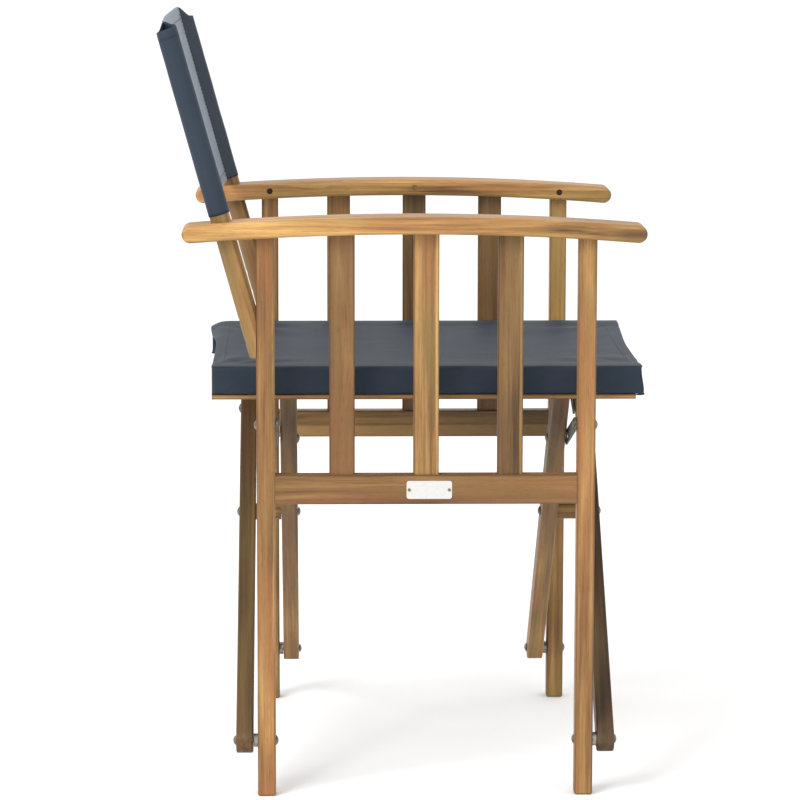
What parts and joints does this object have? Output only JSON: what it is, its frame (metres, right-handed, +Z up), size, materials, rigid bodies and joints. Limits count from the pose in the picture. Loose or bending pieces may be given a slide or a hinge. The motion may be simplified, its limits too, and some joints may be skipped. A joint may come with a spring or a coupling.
{
  "type": "director chair",
  "caption": "Folding wooden director chair with crossed bars under the seat, slatted sides, arched armrests, a sling seat and a sling back on leaning poles.",
  "frame": {"origin": "on the floor, under the middle of the open chair's overall box", "axes": "+X the way the sitter faces, +Y to the sitter's left, +Z up"},
  "size_m": [0.5352, 0.52, 0.8566],
  "materials": {
    "hardwood": "oiled hardwood with strong light and dark grain",
    "bar_hardwood": "oiled hardwood, darker boards",
    "bolt_steel": "dark zinc-plated steel",
    "link_steel": "dark blackened flat bar",
    "label_metal": "blank satin plate",
    "pivot_washer": "dull steel spacer",
    "seat_canvas": "grey-blue woven sling with a navy border",
    "back_canvas": "grey-blue woven sling with sewn sleeves"
  },
  "bodies": {
    "right_frame": {"arm_plug_right": "hardwood", "arm_screws_right": "bolt_steel", "armrest_right": "hardwood", "back_pole_right": "hardwood", "back_sling_right": "back_canvas", "foot_bolts_right": "bolt_steel", "foot_nuts_right": "bolt_steel", "foot_spacers_right": "pivot_washer", "front_leg_right": "hardwood", "label_pins": "bolt_steel", "label_plate": "label_metal", "link_bolts_right": "bolt_steel", "pole_screws_right": "bolt_steel", "rear_leg_right": "hardwood", "side_rail_right": "hardwood", "slat_front_right": "hardwood", "slat_middle_right": "hardwood", "slat_rear_right": "hardwood"},
    "outer_frame": {"batten_screws_left": "bolt_steel", "centre_bolts": "bolt_steel", "centre_nuts": "bolt_steel", "centre_spacers": "hardwood", "link_bar_bolts_left": "bolt_steel", "outer_front_bar": "bar_hardwood", "outer_rear_bar": "bar_hardwood", "seat_batten_left": "hardwood", "seat_rail_left": "hardwood", "seat_screws_left": "bolt_steel", "seat_sling_left": "seat_canvas"},
    "inner_frame": {"batten_screws_right": "bolt_steel", "inner_front_bar": "bar_hardwood", "inner_rear_bar": "bar_hardwood", "link_bar_bolts_right": "bolt_steel", "seat_batten_right": "hardwood", "seat_rail_right": "hardwood", "seat_screws_right": "bolt_steel", "seat_sling_right": "seat_canvas"},
    "left_frame": {"arm_plug_left": "hardwood", "arm_screws_left": "bolt_steel", "armrest_left": "hardwood", "back_pole_left": "hardwood", "back_sling_left": "back_canvas", "foot_bolts_left": "bolt_steel", "foot_nuts_left": "bolt_steel", "foot_spacers_left": "pivot_washer", "front_leg_left": "hardwood", "link_bolts_left": "bolt_steel", "pole_screws_left": "bolt_steel", "rear_leg_left": "hardwood", "side_rail_left": "hardwood", "slat_front_left": "hardwood", "slat_middle_left": "hardwood", "slat_rear_left": "hardwood"},
    "front_link_right": {"front_link_right": "link_steel"},
    "rear_link_right": {"rear_link_right": "link_steel"},
    "front_link_left": {"front_link_left": "link_steel"},
    "rear_link_left": {"rear_link_left": "link_steel"}
  },
  "joints": [
    {"name": "fold", "type": "hinge", "parent": "right_frame", "child": "outer_frame", "pos_m": [0.02761, -0.235, 0.0615], "axis": [1, 0, 0], "range_deg": [0, 24], "deforming": ["seat_sling_left", "seat_sling_right", "back_sling_left", "back_sling_right"]},
    {"name": "centre_pivot", "type": "hinge", "parent": "outer_frame", "child": "inner_frame", "pos_m": [0.02761, 0, 0.27708], "axis": [1, 0, 0], "range_deg": [-48, 0]},
    {"name": "left_foot_pivot", "type": "hinge", "parent": "inner_frame", "child": "left_frame", "pos_m": [0.02761, 0.235, 0.0615], "axis": [1, 0, 0], "range_deg": [0, 24]},
    {"name": "front_link_right_pivot", "type": "hinge", "parent": "right_frame", "child": "front_link_right", "pos_m": [0.19111, -0.235, 0.416], "axis": [1, 0, 0], "range_deg": [0, 66.65]},
    {"name": "rear_link_right_pivot", "type": "hinge", "parent": "right_frame", "child": "rear_link_right", "pos_m": [-0.13589, -0.235, 0.416], "axis": [1, 0, 0], "range_deg": [0, 66.65]},
    {"name": "front_link_left_pivot", "type": "hinge", "parent": "left_frame", "child": "front_link_left", "pos_m": [0.21611, 0.235, 0.416], "axis": [1, 0, 0], "range_deg": [-66.65, 0]},
    {"name": "rear_link_left_pivot", "type": "hinge", "parent": "left_frame", "child": "rear_link_left", "pos_m": [-0.16089, 0.235, 0.416], "axis": [1, 0, 0], "range_deg": [-66.65, 0]}
  ],
  "couplings": [
    {"joint": "centre_pivot", "follows": "fold", "ratio": -2},
    {"joint": "left_foot_pivot", "follows": "fold", "ratio": 1},
    {"joint": "front_link_right_pivot", "follows": "fold", "ratio": 2.7768},
    {"joint": "rear_link_right_pivot", "follows": "fold", "ratio": 2.7768},
    {"joint": "front_link_left_pivot", "follows": "fold", "ratio": -2.7768},
    {"joint": "rear_link_left_pivot", "follows": "fold", "ratio": -2.7768}
  ]
}
